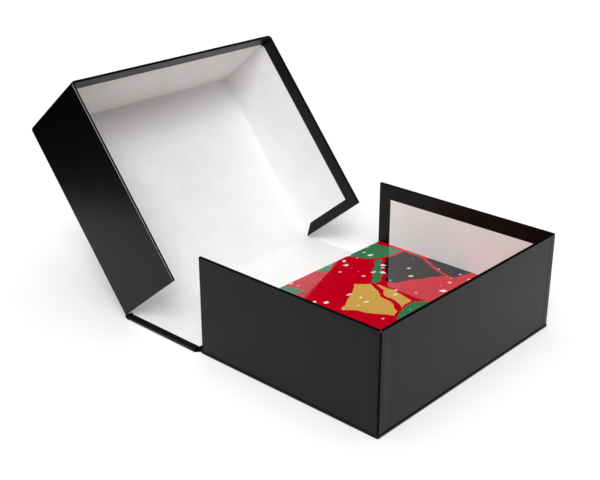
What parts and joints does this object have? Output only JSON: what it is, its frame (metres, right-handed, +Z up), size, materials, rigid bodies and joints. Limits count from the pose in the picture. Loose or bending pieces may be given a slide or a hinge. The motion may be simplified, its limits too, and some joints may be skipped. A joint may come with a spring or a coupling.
{
  "type": "clamshell box",
  "caption": "Cloth-covered clamshell box, open with its larger lid tilted back on the spine, and a closed book in the lower tray.",
  "frame": {"origin": "centre of the underside of the base, on the table", "axes": "+X from the hinge to the fore-edge of the tray, +Y along the spine from tail to head, +Z up"},
  "size_m": [0.4794, 0.288, 0.2447],
  "materials": {
    "book_cloth": "fine-woven black book cloth, semi-matte",
    "greyboard": "uncoated pressed greyboard",
    "lining_paper": "uncoated white lining paper on card",
    "printed_sheet": "glossy laminated print in red, green, ochre and black",
    "page_paper": "trimmed edges of coated book paper",
    "endpaper": "uncoated off-white sheet"
  },
  "bodies": {
    "tray": {"base_board": "greyboard", "base_cover": "book_cloth", "tray_fore_wall": "greyboard", "tray_head_wall": "greyboard", "tray_tail_wall": "greyboard", "tray_wall_cloth": "book_cloth", "tray_fore_lining": "lining_paper", "tray_head_lining": "lining_paper", "tray_tail_lining": "lining_paper", "tray_floor_lining": "lining_paper"},
    "spine": {"spine_board": "greyboard", "spine_cover": "book_cloth", "spine_lining": "lining_paper", "tray_hinge_cloth": "book_cloth", "tray_hinge_lining": "lining_paper", "lid_hinge_cloth": "book_cloth", "lid_hinge_lining": "lining_paper"},
    "lid": {"lid_board": "greyboard", "lid_cover": "book_cloth", "lid_fore_wall": "greyboard", "lid_head_wall": "greyboard", "lid_tail_wall": "greyboard", "lid_wall_cloth": "book_cloth", "lid_fore_lining": "lining_paper", "lid_head_lining": "lining_paper", "lid_tail_lining": "lining_paper", "lid_floor_lining": "lining_paper"},
    "book": {"book_front_board": "greyboard", "book_back_board": "greyboard", "book_spine_board": "greyboard", "book_cover": "printed_sheet", "book_pages": "page_paper", "book_front_endpaper": "endpaper", "book_back_endpaper": "endpaper"}
  },
  "joints": [
    {"name": "spine_hinge", "type": "hinge", "parent": "tray", "child": "spine", "pos_m": [-0.11535, 0, 0.0002], "axis": [0, 1, 0], "range_deg": [0, 90], "deforming": ["tray_hinge_cloth", "tray_hinge_lining"]},
    {"name": "lid_hinge", "type": "hinge", "parent": "spine", "child": "lid", "pos_m": [-0.22395, 0, 0.0002], "axis": [0, 1, 0], "range_deg": [-51, 39], "deforming": ["lid_hinge_cloth", "lid_hinge_lining"]},
    {"name": "book_lift", "type": "slide", "parent": "tray", "child": "book", "axis": [0, 0, 1], "range_m": [0, 0.07]}
  ]
}
